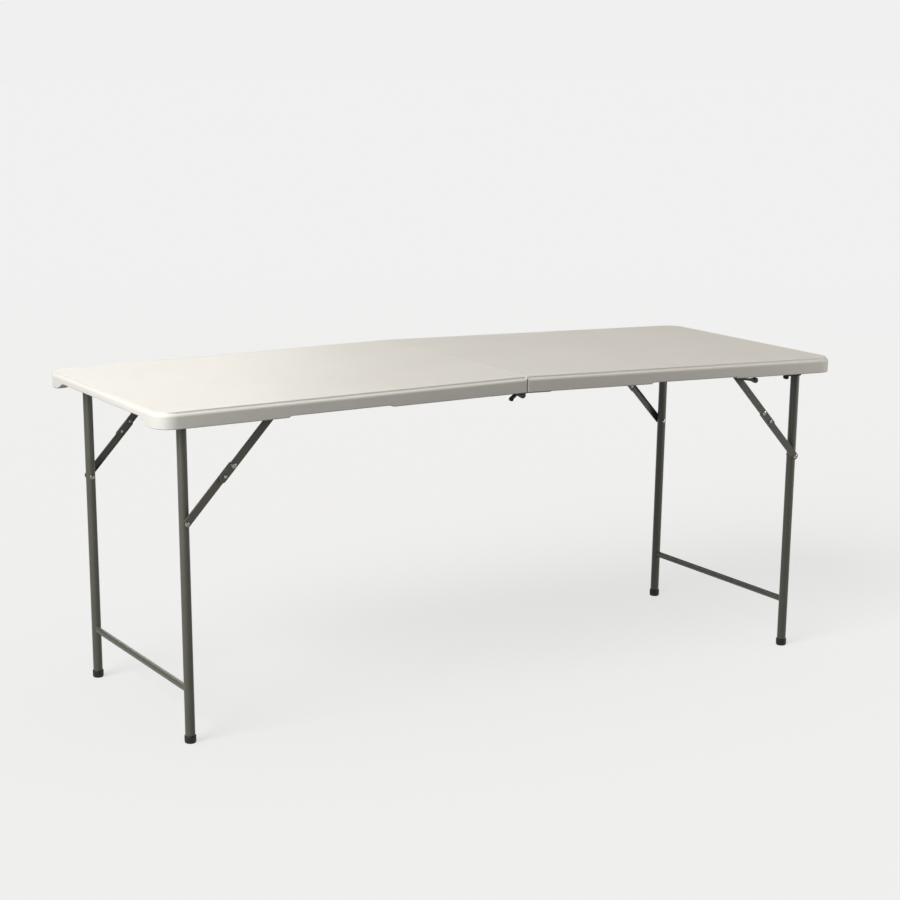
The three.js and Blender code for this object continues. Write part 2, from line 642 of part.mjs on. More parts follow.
const pins = place(table, new THREE.Group(), 0, 0, AXIS_HEIGHT);
pins.add(makeHingePin('hinge_pin_front', -1));
pins.add(makeHingePin('hinge_pin_rear', 1));

export default table;
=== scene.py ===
"""Folding table: detailed surfaces, materials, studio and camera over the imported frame."""
import json
import math

import bmesh
import bpy
from mathutils import Matrix, Vector


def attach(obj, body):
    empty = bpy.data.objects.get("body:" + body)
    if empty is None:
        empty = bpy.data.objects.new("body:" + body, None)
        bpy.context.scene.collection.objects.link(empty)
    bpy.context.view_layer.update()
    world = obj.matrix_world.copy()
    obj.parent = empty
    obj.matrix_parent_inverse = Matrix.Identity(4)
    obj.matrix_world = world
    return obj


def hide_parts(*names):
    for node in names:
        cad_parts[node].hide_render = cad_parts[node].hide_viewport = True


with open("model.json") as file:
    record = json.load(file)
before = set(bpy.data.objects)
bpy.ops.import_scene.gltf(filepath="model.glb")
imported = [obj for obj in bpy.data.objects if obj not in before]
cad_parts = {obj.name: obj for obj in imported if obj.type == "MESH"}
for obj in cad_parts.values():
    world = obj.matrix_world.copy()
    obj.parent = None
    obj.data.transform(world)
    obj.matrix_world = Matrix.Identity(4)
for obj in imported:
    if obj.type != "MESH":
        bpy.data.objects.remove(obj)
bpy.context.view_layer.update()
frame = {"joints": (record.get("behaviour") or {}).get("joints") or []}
JOINTS = {joint["name"]: joint for joint in frame["joints"]}

# ---- Sizes, in millimetres. Inside a half, x runs outwards from the fold axis, y is across the
# ---- table and z is the height above the fold axis.

MM = 0.001
CROWN = math.radians(0.95)
AXIS = Vector(JOINTS["table_fold"]["pos_m"])
SIDE = {"left": -1, "right": 1}

LENGTH = 899.4
HALF_WIDTH = 340.0
TOP = 46.0
BOTTOM = 9.0
CORNER = 45.0
RIM = 24.0
DECK_UNDER = 30.5
SMOOTH_BORDER = 13.0

LEG_X = 824.0
LEG_Y = 278.0
LEG_RADIUS = 11.0
LEG_BORE = 9.5
CROSSBAR_RADIUS = 7.5
PIVOT_Z = 17.0
FLOOR_Z = (LEG_X * MM * math.sin(CROWN) - AXIS.z) / MM / math.cos(CROWN) - PIVOT_Z
BRACE_REACH = 208.0
BRACE_DROP = 223.0
BRACE_ANGLE = math.atan2(BRACE_DROP, BRACE_REACH)
BRACE_SPAN = math.hypot(BRACE_REACH, BRACE_DROP)
UPPER = (BRACE_SPAN - (BRACE_DROP - BRACE_REACH)) / 2
LOWER = BRACE_SPAN - UPPER
LINK_R = 8.5
LINK_DEPTH = 5.2
OVERLAP = 38
BUTTON_PAST_ELBOW = 30
LOWER_FACE = 295.0
UPPER_FACE = 300.5
RAIL_FACE = 306.0
UNDER_RIM = 8.7
CROSSBAR_ABOVE_FLOOR = 119.3
RAIL_START = 36.0
RAIL_END = 852.0
RAIL_SHEET = 1.8
LEAF_FACE = 308.1
LEAF_SHEET = 2.5
LEAF_RING = 6.5
PIN_CAP_START = 313.7
PIN_CAP_END = 322.0
BOLT_INNER = 322.6
BOLT_OUTER = 333.0
BOLT_TOP = 8.4
BOLT_LOW = 3.6
LATCH_X = 622.0
LATCH_Z = 4.6
LATCH_LENGTH = 40.5
LATCH_INNER = 319.0
LATCH_OUTER = 329.0
LATCH_DROP = math.radians(7.4)


def half_matrix(label):
    side = SIDE[label]
    turn = Matrix.Rotation(math.pi, 4, "Z") if side < 0 else Matrix.Identity(4)
    return Matrix.Translation(AXIS) @ Matrix.Rotation(side * CROWN, 4, "Y") @ turn


def front_or_rear(label, side):
    """Which long side of the table the y = +side of this half is on."""
    return "front" if side == -SIDE[label] else "rear"


# ---- Materials -----------------------------------------------------------------------------------


class Look:
    """A node material, with short calls for the few kinds of node used here."""

    def __init__(self, name, roughness, metallic=0.0, specular=0.5):
        self.material = bpy.data.materials.new(name)
        self.material.use_nodes = True
        self.nodes = self.material.node_tree.nodes
        self.links = self.material.node_tree.links
        self.shader = self.nodes["Principled BSDF"]
        self.shader.inputs["Roughness"].default_value = roughness
        self.shader.inputs["Metallic"].default_value = metallic
        self.shader.inputs["Specular IOR Level"].default_value = specular
        self.place = self.nodes.new("ShaderNodeTexCoord").outputs["Object"]

    def node(self, kind, inputs=(), **settings):
        made = self.nodes.new("ShaderNode" + kind)
        for key, value in settings.items():
            setattr(made, key, value)
        for key, value in dict(inputs).items():
            if isinstance(value, bpy.types.NodeSocket):
                self.links.new(value, made.inputs[key])
            else:
                made.inputs[key].default_value = value
        return made

    def noise(self, scale, detail=3.0, roughness=0.55):
        inputs = {"Vector": self.place, "Scale": scale, "Detail": detail, "Roughness": roughness}
        return self.node("TexNoise", inputs).outputs["Fac"]

    def ramp(self, factor, low, high, start=0.3, end=0.7):
        made = self.node("ValToRGB", {"Fac": factor})
        made.color_ramp.elements[0].position = start
        made.color_ramp.elements[1].position = end
        made.color_ramp.elements[0].color = (*low, 1.0)
        made.color_ramp.elements[1].color = (*high, 1.0)
        return made.outputs["Color"]

    def span(self, factor, low, high):
        made = self.node("MapRange", {"Value": factor, "To Min": low, "To Max": high})
        return made.outputs["Result"]

    def math(self, kind, *values):
        return self.node("Math", dict(enumerate(values)), operation=kind).outputs["Value"]

    def colour(self, socket):
        self.links.new(socket, self.shader.inputs["Base Color"])

    def rough(self, socket):
        self.links.new(socket, self.shader.inputs["Roughness"])

    def bump(self, *layers):
        """Each layer is a height socket, its strength, and its depth in metres."""
        normal = None
        for height, strength, depth in layers:
            inputs = {"Height": height, "Strength": strength, "Distance": depth}
            if normal is not None:
                inputs["Normal"] = normal
            normal = self.node("Bump", inputs).outputs["Normal"]
        self.links.new(normal, self.shader.inputs["Normal"])


def moulding_look():
    look = Look("moulded_top", 0.5, specular=0.42)
    cloud = look.noise(5.0, 4.0)
    speck = look.noise(900.0, 2.0)
    base = look.ramp(cloud, (0.665, 0.652, 0.618), (0.690, 0.678, 0.645))
    tint = look.ramp(speck, (0.93, 0.93, 0.925), (1.0, 1.0, 1.0), 0.25, 0.5)
    # The Mix node keeps its colour sockets at 6 and 7, and its colour output at 2.
    mixed = look.node("Mix", {0: 1.0, 6: base, 7: tint}, data_type="RGBA", blend_type="MULTIPLY")
    look.colour(mixed.outputs[2])
    look.rough(look.span(look.noise(38.0, 4.0), 0.43, 0.57))
    split = look.node("SeparateXYZ", {"Vector": look.place})
    height = split.outputs["Z"]
    # The fine pebble grain is only on the upper face, inside the smooth border.
    upper = look.math("GREATER_THAN", height, (TOP - 0.6) * MM)
    offset = look.math("ABSOLUTE", split.outputs["Y"])
    inside = look.math("LESS_THAN", offset, (HALF_WIDTH - SMOOTH_BORDER) * MM)
    along = look.math("LESS_THAN", split.outputs["X"], (LENGTH - SMOOTH_BORDER) * MM)
    grained = look.math("MULTIPLY", upper, look.math("MULTIPLY", inside, along))
    cells = look.node("TexVoronoi", {"Vector": look.place, "Scale": 620.0, "Randomness": 0.9})
    pebble = look.math("MULTIPLY", cells.outputs["Distance"], grained)
    look.bump((look.noise(3.2, 2.0), 0.35, 0.0012), (look.noise(260.0, 3.0), 0.25, 0.00008),
              (pebble, 0.5, 0.00022))
    return look.material


def paint_look():
    look = Look("frame_paint", 0.42)
    cloud = look.noise(14.0, 4.0)
    look.colour(look.ramp(cloud, (0.078, 0.077, 0.061), (0.093, 0.092, 0.074)))
    look.rough(look.span(look.noise(90.0, 4.0), 0.34, 0.5))
    peel = look.noise(520.0, 2.0, 0.6)
    look.bump((peel, 0.5, 0.00006), (look.noise(60.0, 3.0), 0.2, 0.00015))
    return look.material


def zinc_look():
    look = Look("zinc_plate", 0.34, metallic=1.0)
    look.colour(look.ramp(look.noise(260.0, 4.0), (0.20, 0.20, 0.19), (0.40, 0.40, 0.38)))
    look.rough(look.span(look.noise(700.0, 3.0), 0.16, 0.34))
    look.bump((look.noise(1500.0, 2.0), 0.35, 0.00004))
    return look.material


def black_steel_look():
    look = Look("black_steel", 0.42)
    look.colour(look.ramp(look.noise(120.0, 4.0), (0.010, 0.010, 0.010), (0.022, 0.022, 0.021)))
    look.rough(look.span(look.noise(240.0, 3.0), 0.34, 0.52))
    look.bump((look.noise(900.0, 2.0), 0.3, 0.00004))
    return look.material


def black_plastic_look():
    look = Look("black_plastic", 0.5, specular=0.4)
    look.colour(look.ramp(look.noise(80.0, 4.0), (0.008, 0.008, 0.008), (0.015, 0.015, 0.0145)))
    look.rough(look.span(look.noise(320.0, 3.0), 0.42, 0.62))
    look.bump((look.noise(1200.0, 2.0), 0.5, 0.00006))
    return look.material


def rubber_look():
    look = Look("black_rubber", 0.8, specular=0.3)
    look.colour(look.ramp(look.noise(150.0, 4.0), (0.009, 0.009, 0.009), (0.017, 0.016, 0.015)))
    look.rough(look.span(look.noise(500.0, 3.0), 0.7, 0.9))
    look.bump((look.noise(1400.0, 3.0), 0.5, 0.00008))
    return look.material


LOOKS = {
    "moulding": moulding_look(),
    "frame_paint": paint_look(),
    "zinc": zinc_look(),
    "black_steel": black_steel_look(),
    "black_plastic": black_plastic_look(),
    "black_rubber": rubber_look(),
}

# ---- Mesh building, in millimetres ---------------------------------------------------------------


class Build:
    def __init__(self):
        self.bm = bmesh.new()

    def ring(self, points):
        return [self.bm.verts.new(point) for point in points]

    def skin(self, a, b, closed=True):
        count = len(a)
        for i in range(count if closed else count - 1):
            j = (i + 1) % count
            self.bm.faces.new((a[i], a[j], b[j], b[i]))

    def cap(self, ring, flip=False):
        self.bm.faces.new(list(reversed(ring)) if flip else ring)

    def edges_round(self, ring):
        count = len(ring)
        return [self.bm.edges.get((ring[i], ring[(i + 1) % count])) for i in range(count)]

    def join(self, other, matrix=None):
        if matrix is not None:
            bmesh.ops.transform(other.bm, matrix=matrix, verts=other.bm.verts)
        mesh = bpy.data.meshes.new("join")
        other.bm.to_mesh(mesh)
        other.bm.free()
        self.bm.from_mesh(mesh)
        bpy.data.meshes.remove(mesh)
        return self

    def moved(self, matrix):
        bmesh.ops.transform(self.bm, matrix=matrix, verts=self.bm.verts)
        return self

    def piece(self, name, slot, body, matrix, nodes=(), bevel=0.0, segments=2, sharp=38.0,
              weighted=False):
        """Makes the object: nodes are the CAD solids it stands for, bevel is in millimetres and
        sharp is the angle above which an edge stays sharp."""
        bmesh.ops.recalc_face_normals(self.bm, faces=self.bm.faces)
        bmesh.ops.scale(self.bm, vec=(MM, MM, MM), verts=self.bm.verts)
        mesh = bpy.data.meshes.new(name)
        self.bm.to_mesh(mesh)
        self.bm.free()
        for polygon in mesh.polygons:
            polygon.use_smooth = True
        obj = bpy.data.objects.new(name, mesh)
        bpy.context.scene.collection.objects.link(obj)
        obj.matrix_world = matrix
        mesh.materials.append(LOOKS[slot])
        if bevel:
            edge = obj.modifiers.new("edges", "BEVEL")
            edge.width = bevel * MM
            edge.segments = segments
            edge.limit_method = "ANGLE"
            edge.angle_limit = math.radians(30)
            edge.use_clamp_overlap = True
            obj.modifiers.new("shading", "WEIGHTED_NORMAL").keep_sharp = True
        else:
            mesh.set_sharp_from_angle(angle=math.radians(sharp))
            if weighted:
                obj.modifiers.new("shading", "WEIGHTED_NORMAL").keep_sharp = True
        bpy.context.view_layer.update()
        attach(obj, body)
        if nodes:
            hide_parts(*nodes)
        return obj


def circle(radius, count, centre=(0.0, 0.0)):
    step = 2 * math.pi / count
    return [(centre[0] + radius * math.cos(i * step), centre[1] + radius * math.sin(i * step))
            for i in range(count)]


def arc(cx, cz, radius, start, end, count):
    """Points on an arc, angles in degrees."""
    angles = [math.radians(start + (end - start) * i / count) for i in range(count + 1)]
    return [(cx + radius * math.cos(a), cz + radius * math.sin(a)) for a in angles]


def lathe(profile, side=1, sides=40, closed=False):
    """Turns (radius, y) pairs about the y axis."""
    made = Build()
    rings = []
    for radius, y in profile:
        if radius < 1e-6:
            rings.append([made.bm.verts.new((0.0, side * y, 0.0))])
        else:
            rings.append(made.ring([(x, side * y, z) for x, z in circle(radius, sides)]))
    pairs = list(zip(rings, rings[1:]))
    if closed:
        pairs.append((rings[-1], rings[0]))
    for a, b in pairs:
        if len(a) == 1 and len(b) == 1:
            continue
        if len(a) == 1:
            for i in range(sides):
                made.bm.faces.new((a[0], b[i], b[(i + 1) % sides]))
        elif len(b) == 1:
            for i in range(sides):
                made.bm.faces.new((a[i], b[0], a[(i + 1) % sides]))
        else:
            made.skin(a, b)
    return made


def sheet_metal(outline, y0, y1, holes=()):
    """A flat plate in x and z with holes, between two y values."""
    made = Build()
    edges = []
    for loop in (outline, *holes):
        ring = made.ring([(x, y0, z) for x, z in loop])
        count = len(ring)
        edges += [made.bm.edges.new((ring[i], ring[(i + 1) % count])) for i in range(count)]
    filled = bmesh.ops.triangle_fill(made.bm, use_beauty=True, use_dissolve=False, edges=edges)
    faces = [f for f in filled["geom"] if isinstance(f, bmesh.types.BMFace)]
    grown = bmesh.ops.extrude_face_region(made.bm, geom=faces, use_keep_orig=True)
    new = [v for v in grown["geom"] if isinstance(v, bmesh.types.BMVert)]
    bmesh.ops.translate(made.bm, vec=(0.0, y1 - y0, 0.0), verts=new)
    bmesh.ops.dissolve_limit(made.bm, angle_limit=math.radians(1), verts=made.bm.verts,
                             edges=made.bm.edges)
    return made


def brick(x0, x1, y0, y1, z0, z1):
    made = Build()
    low = made.ring([(x0, y0, z0), (x1, y0, z0), (x1, y1, z0), (x0, y1, z0)])
    high = made.ring([(x0, y0, z1), (x1, y0, z1), (x1, y1, z1), (x0, y1, z1)])
    made.skin(low, high)
    made.cap(low, flip=True)
    made.cap(high)
    return made


def across(side, x, z=0.0, y=0.0):
    """Puts a shape built about the y axis at x and z, y from the middle on one side."""
    return Matrix.Translation((x, side * y, z))


def swept(path, radius, sides=10, closed=True, waves=0, wave_depth=0.0):
    """A round bead along a path of points; waves give it the ripple of a weld."""
    made = Build()
    count = len(path)
    rings = []
    for i, point in enumerate(path):
        before = path[(i - 1) % count] if closed or i else path[0]
        after = path[(i + 1) % count] if closed or i < count - 1 else path[-1]
        along = (after - before).normalized()
        outward = along.orthogonal().normalized()
        if closed:
            centre = sum(path, Vector()) / count
            outward = (point - centre) - along * (point - centre).dot(along)
            outward.normalize()
        other = along.cross(outward)
        swell = radius * (1 + wave_depth * math.sin(2 * math.pi * waves * i / count))
        section = circle(1.0, sides)
        rings.append(made.ring([point + swell * (outward * x + other * z) for x, z in section]))
    for a, b in zip(rings, rings[1:] + (rings[:1] if closed else [])):
        made.skin(a, b)
    if not closed:
        made.cap(rings[0], flip=True)
        made.cap(rings[-1])
    return made


# ---- Tabletop halves -----------------------------------------------------------------------------

# The long sides have a shallow relief in the lower edge: where it starts, is at full depth, starts
# to end and ends, along x. The outer end has a deep one, a hand hold: full depth and end, along y.
RELIEF = (345.0, 351.0, 594.0, 600.0)
RELIEF_DEPTH = 3.5
END_RELIEF = (230.0, 280.0)
END_RELIEF_DEPTH = 16.0
END_STATIONS = (-290, -280, -273, -266, -259, -251, -244, -237, -230, -115, 0,
                115, 230, 237, 244, 251, 259, 266, 273, 280, 290)
STATIONS = sorted(set([60, 120, 180, 240, 300, 660, 720, 780, 835] + list(range(340, 360, 3))
                      + list(range(585, 606, 3)) + list(range(380, 580, 40))))


def smooth_step(value, start, end):
    t = min(1.0, max(0.0, (value - start) / (end - start)))
    return t * t * (3 - 2 * t)


def seam_x(z):
    """The end at the seam is upright at the working slope."""
    return (0.3 - z * math.sin(CROWN)) / math.cos(CROWN)


def rim_loop(inset, seam_inset, z, seam_z=None, seam_radius=4.6, raised=False):
    """A rounded outline of the half at one height, always with the same number of points. A raised
    one follows the reliefs of the lower edge."""
    seam_z = z if seam_z is None else seam_z
    y = HALF_WIDTH - inset
    start = seam_x(seam_z) + seam_inset
    centre = (LENGTH - CORNER, HALF_WIDTH - CORNER)
    radius = CORNER - inset
    r = seam_radius
    loop = [(x, -y, z) for x in STATIONS]
    loop += [(px, py, z) for px, py in arc(centre[0], -centre[1], radius, -90, 0, 12)]
    loop += [(LENGTH - inset, py, z) for py in END_STATIONS]
    loop += [(px, py, z) for px, py in arc(centre[0], centre[1], radius, 0, 90, 12)]
    loop += [(x, y, z) for x in reversed(STATIONS)]
    corner = arc(start + r, y - r, r, 90, 180, 4)
    loop += [(px, py, z + (seam_z - z) * i / 4) for i, (px, py) in enumerate(corner)]
    loop += [(start, py, seam_z) for py in (200, 100, 0, -100, -200)]
    corner = arc(start + r, -y + r, r, 180, 270, 4)
    loop += [(px, py, seam_z + (z - seam_z) * i / 4) for i, (px, py) in enumerate(corner)]
    if raised:
        lifted = []
        for px, py, pz in loop:
            amount = smooth_step(px, *RELIEF[:2]) * (1 - smooth_step(px, *RELIEF[2:]))
            hold = (1 - smooth_step(abs(py), *END_RELIEF)) * (px > LENGTH - CORNER)
            lift = RELIEF_DEPTH * amount * (abs(py) > 300) + END_RELIEF_DEPTH * hold
            lifted.append((px, py, pz + lift))
        loop = lifted
    return loop


def dimple(x, y):
    """Depth of the conical pits that tie the underside to the upper skin, in staggered rows."""
    pitch = 42.0
    row_height = pitch * 0.8660254
    middle = 450.0
    row = round(y / row_height)
    offset = pitch / 2 if row % 2 else 0.0
    column = round((x - middle - offset) / pitch)
    px, py = middle + offset + column * pitch, row * row_height
    if not 48 < px < 852 or abs(py) > 286:
        return 0.0
    distance = math.hypot(x - px, y - py)
    depth, flat_radius, outer_radius = 8.5, 3.5, 12.5
    return depth * (1 - smooth_step(distance, flat_radius, outer_radius))


def build_top(label):
    made = Build()
    # The field is a little lower than its border; the shoulder is a small step, a sloping ledge
    # and a roll down to the skirt. The seam edge has none of these, only a tight rounding.
    field = TOP - 0.4
    seam_rounding = 0.6
    border = [(30, 8, field), (14.5, 6, field), (12.5, 5, TOP - 0.33), (10.5, 4, TOP - 0.07),
              (9, 3, TOP), (7.4, 2.4, TOP)]
    loops = [rim_loop(inset, seam, z, seam_z=field) for inset, seam, z in border]
    # Each step of the shoulder is its inset from the side and its drop from the top.
    shoulder = [(6.2, 0.3), (5.8, 1.2), (5.6, 2.6), (5.2, 3.8), (4.4, 4.6), (2.8, 5.6), (1.5, 6.8),
                (0.6, 8.4), (0.1, 9.8), (0.0, 11.2)]
    for i, (inset, drop) in enumerate(shoulder):
        turn = math.radians(90 * (i + 1) / len(shoulder))
        loops.append(rim_loop(inset, seam_rounding - seam_rounding * math.sin(turn), TOP - drop,
                              seam_z=field - seam_rounding + seam_rounding * math.cos(turn)))
    loops += [
        rim_loop(0, 0, 31),
        rim_loop(0, 0, 12, raised=True),
        rim_loop(0, 0, 11, raised=True),
        rim_loop(0.35, 0.35, 9.8, raised=True),
        rim_loop(1.1, 1.1, 9.15, raised=True),
        rim_loop(2.2, 2.2, BOTTOM, raised=True, seam_radius=4),
        rim_loop(RIM - 2.2, RIM, BOTTOM, raised=True, seam_radius=8),
        rim_loop(RIM - 1.0, RIM + 1.2, 9.2, raised=True, seam_radius=8),
        rim_loop(RIM - 0.3, RIM + 1.8, 9.9, raised=True, seam_radius=8),
        rim_loop(RIM, RIM + 2, 11.2, raised=True, seam_radius=8),
        rim_loop(RIM, RIM + 2, DECK_UNDER - 1.5, seam_radius=8),
        rim_loop(RIM + 0.5, RIM + 2.5, DECK_UNDER - 0.4, seam_radius=7.5),
        rim_loop(RIM + 1.8, RIM + 3.8, DECK_UNDER, seam_radius=6.5),
    ]
    rings = [made.ring(loop) for loop in loops]
    made.cap(rings[0])
    for a, b in zip(rings, rings[1:]):
        made.skin(b, a)

    # The ribbed and pitted underside, as a fine grid sewn to the last loop.
    step = 4.0
    x0, x1, y1 = 34.0, 866.0, 304.0
    columns, rows = int((x1 - x0) / step), int(2 * y1 / step)
    grid = [[made.bm.verts.new((x0 + i * step, -y1 + j * step,
                                DECK_UNDER + dimple(x0 + i * step, -y1 + j * step)))
             for j in range(rows + 1)] for i in range(columns + 1)]
    for i in range(columns):
        for j in range(rows):
            made.bm.faces.new((grid[i][j], grid[i][j + 1], grid[i + 1][j + 1], grid[i + 1][j]))
    hem = [grid[i][0] for i in range(columns)] + [grid[columns][j] for j in range(rows)]
    hem += [grid[i][rows] for i in range(columns, 0, -1)] + [grid[0][j] for j in range(rows, 0, -1)]
    bmesh.ops.bridge_loops(made.bm, edges=made.edges_round(hem) + made.edges_round(rings[-1]))
    made.piece(f"moulded_top_{label}", "moulding", f"half_{label}", half_matrix(label),
               nodes=[f"top_panel_{label}"], sharp=50.0, weighted=True)


# ---- Rails, screws and hinges --------------------------------------------------------------------


def pan_screw(radius=4.2, height=2.2):
    """A pan head with a cross recess, head towards -z."""
    made = Build()
    sides = 32
    w, reach = 0.55, 2.1
    cross = [(reach, -w), (reach, w), (w, w), (w, reach), (-w, reach), (-w, w), (-reach, w),
             (-reach, -w), (-w, -w), (-w, -reach), (w, -reach), (w, -w)]
    rings = [made.ring([(x, y, z) for x, y in circle(r, sides)])
             for r, z in ((radius, 0.0), (radius, -0.7), (radius * 0.9, -height * 0.75),
                          (radius * 0.72, -height))]
    for a, b in zip(rings, rings[1:]):
        made.skin(b, a)
    mouth = made.ring([(x, y, -height) for x, y in cross])
    floor = made.ring([(x * 0.8, y * 0.8, -height + 1.4) for x, y in cross])
    count = len(mouth)
    inner = [made.bm.edges.new((mouth[i], mouth[(i + 1) % count])) for i in range(count)]
    bmesh.ops.triangle_fill(made.bm, use_beauty=True, use_dissolve=False,
                            edges=made.edges_round(rings[-1]) + inner)
    made.skin(mouth, floor)
    made.cap(floor)
    return made


def rivet_head(radius, height, y, hollow=0.0):
    """Lathe profile of a domed rivet head standing on y, from its rim to the middle; a hollow one
    has the round pit of a tubular rivet, as deep as given."""
    steps = 7
    profile = [(radius, y), (radius, y + 0.35 * height)]
    for i in range(1, steps):
        turn = i / steps * math.pi / 2
        if hollow and radius * math.cos(turn) < 0.5 * radius:
            break
        profile.append((radius * math.cos(turn), y + height * (0.35 + 0.65 * math.sin(turn))))
    top = profile[-1][1] if hollow else y + height
    if hollow:
        profile += [(radius * 0.46, top), (radius * 0.38, top - 0.25), (radius * 0.36, top - hollow)]
        top -= hollow
    return profile + [(radius * 0.1, top), (0.0, top)]


def build_rail(label, side):
    where = front_or_rear(label, side)
    ear, low, high = 14.0, 9.5, 30.0
    outline = [(RAIL_START, high - 1), (RAIL_START, low), (LEG_X - ear - 8, low)]
    outline += arc(LEG_X, PIVOT_Z, ear, 216, 324, 14)
    outline += [(LEG_X + ear + 8, low), (RAIL_END, low), (RAIL_END, high - 1)]
    holes = [circle(8.3, 32, (LEG_X, PIVOT_Z)), circle(3.3, 20, (LEG_X - BRACE_REACH, PIVOT_Z))]
    holes += [circle(4.0, 20, (x, 20.0)) for x in (160, 280, 400, 520, 700)]
    made = sheet_metal(outline, side * RAIL_FACE, side * (RAIL_FACE + RAIL_SHEET), holes)
    # The bend and the flange that is screwed to the deck.
    bend, edge = 2.6, 315.0
    section = [(RAIL_FACE, high - 1.2)]
    section += [(RAIL_FACE + bend - bend * math.cos(math.radians(a)),
                 high - bend + bend * math.sin(math.radians(a))) for a in (20, 40, 60, 80, 90)]
    section += [(edge, high), (edge, high - RAIL_SHEET), (RAIL_FACE + bend, high - RAIL_SHEET),
                (RAIL_FACE + 1.75, high - 2.4)]
    ends = [made.ring([(x, side * y, z) for y, z in section])
            for x in (RAIL_START + 0.2, RAIL_END - 0.2)]
    made.skin(*ends)
    made.cap(ends[0], flip=True)
    made.cap(ends[1])
    made.piece(f"side_rail_steel_{label}_{where}", "frame_paint", f"half_{label}", half_matrix(label),
               nodes=[f"side_rail_{label}_{where}"], bevel=0.35)
    screws = Build()
    for x in (66, 190, 330, 480, 680, 770):
        screws.join(pan_screw(2.9, 2.0), Matrix.Translation((x, side * 311.9, high - 1.85)))
    screws.piece(f"rail_screws_{label}_{where}", "zinc", f"half_{label}", half_matrix(label))


def build_leaf(label, side):
    where = front_or_rear(label, side)
    inner = LEAF_FACE + (0.0 if side > 0 else LEAF_SHEET + 0.3)
    outline = [(36, 26), (36, 8.4)]
    outline += arc(0, 0, LEAF_RING, 81, 315, 26)
    outline += [(8.5, -0.9), (10.2, 1.2), (12.2, 2.5), (15, 3.0), (78, 3.0), (95, 9.5), (95, 26)]
    spots = [(56.0, 18.5), (82.0, 18.5)]
    made = sheet_metal(outline, side * inner, side * (inner + LEAF_SHEET), [circle(3.3, 24)])
    if side < 0:
        for x, z in spots:
            washer = [(0.0, LEAF_FACE), (6.5, LEAF_FACE), (6.5, inner + 0.2), (0.0, inner + 0.2)]
            made.join(lathe(washer, side), across(side, x, z))
    made.piece(f"hinge_leaf_steel_{label}_{where}", "frame_paint", f"half_{label}", half_matrix(label),
               nodes=[f"hinge_leaf_{label}_{where}"], bevel=0.35)
    rivets = Build()
    face = inner + LEAF_SHEET
    for x, z in spots:
        rivets.join(lathe(rivet_head(4.6, 2.0, face), side), across(side, x, z))
        back = [(r, RAIL_FACE - (y - face)) for r, y in rivet_head(5.0, 1.9, face)]
        rivets.join(lathe(back, side), across(side, x, z))
    rivets.piece(f"leaf_rivets_{label}_{where}", "zinc", f"half_{label}", half_matrix(label))


def build_hinge_pin(where, side):
    head = LEAF_FACE - 0.3
    cap = PIN_CAP_START
    made = lathe([(0.0, head - 3.8), (3.2, head - 3.7), (4.7, head - 3.2), (5.4, head - 2.4),
                  (5.5, head - 0.2), (5.2, head), (3.0, head), (3.0, cap), (6.7, cap), (7.0, cap + 0.3),
                  (7.0, PIN_CAP_END - 1.4), (6.7, PIN_CAP_END - 0.6), (5.9, PIN_CAP_END - 0.1),
                  (2.6, PIN_CAP_END), (2.2, PIN_CAP_END - 0.5), (0.0, PIN_CAP_END - 0.6)], side)
    made.piece(f"hinge_pin_steel_{where}", "black_steel", "half_left", Matrix.Translation(AXIS),
               nodes=[f"hinge_pin_{where}"])


# ---- Leg frames, drawn about their own pivot axis ------------------------------------------------


def build_leg(label, side, place):
    where = front_or_rear(label, side)
    made = Build()
    sides = 48
    y = side * LEG_Y
    bottom = FLOOR_Z + 4.4

    def top_of(x):
        """The leg's end is cut to fit round the cross tube."""
        saddle = 8.1
        return -math.sqrt(max(0.0, saddle ** 2 - x * x)) if abs(x) < saddle else 0.0

    outer, bore = circle(LEG_RADIUS, sides), circle(LEG_BORE, sides)
    heights = [bottom, bottom + 30, -BRACE_DROP - 40, -BRACE_DROP + 40, -60, -20]
    rings = [made.ring([(x, y + py, z) for x, py in outer]) for z in heights]
    rings.append(made.ring([(x, y + py, top_of(x)) for x, py in outer]))
    rings.append(made.ring([(x, y + py, top_of(x)) for x, py in bore]))
    rings.append(made.ring([(x, y + py, -40) for x, py in bore]))
    for a, b in zip(rings, rings[1:]):
        made.skin(a, b)
    made.cap(rings[0], flip=True)
    made.cap(rings[-1])
    made.piece(f"leg_tube_{label}_{where}", "frame_paint", f"leg_frame_{label}", place,
               nodes=[f"leg_{label}_{where}"], sharp=50)

    beads = Build()
    count = 96
    bar_z = FLOOR_Z + CROSSBAR_ABOVE_FLOOR
    # Weld round the crossbar where it meets the leg, on the inner side.
    path = []
    for i in range(count):
        a = 2 * math.pi * i / count
        x, z = 7.7 * math.cos(a), 7.7 * math.sin(a)
        path.append(Vector((x, side * (LEG_Y - math.sqrt(LEG_RADIUS ** 2 - x * x)), bar_z + z)))
    beads.join(swept(path, 1.1, 8, waves=17, wave_depth=0.16))
    # Weld round the cross tube on both sides of the leg.
    for toward in (-1, 1):
        path = []
        for i in range(count):
            a = 2 * math.pi * i / count
            x, z = 8.15 * math.cos(a), 8.15 * math.sin(a)
            if z > 0:
                continue
            path.append(Vector((x, y + toward * math.sqrt(LEG_RADIUS ** 2 - x * x), z)))
        beads.join(swept(path, 1.0, 8, closed=False, waves=15, wave_depth=0.14))
    beads.piece(f"weld_beads_{label}_{where}", "frame_paint", f"leg_frame_{label}", place, sharp=80)


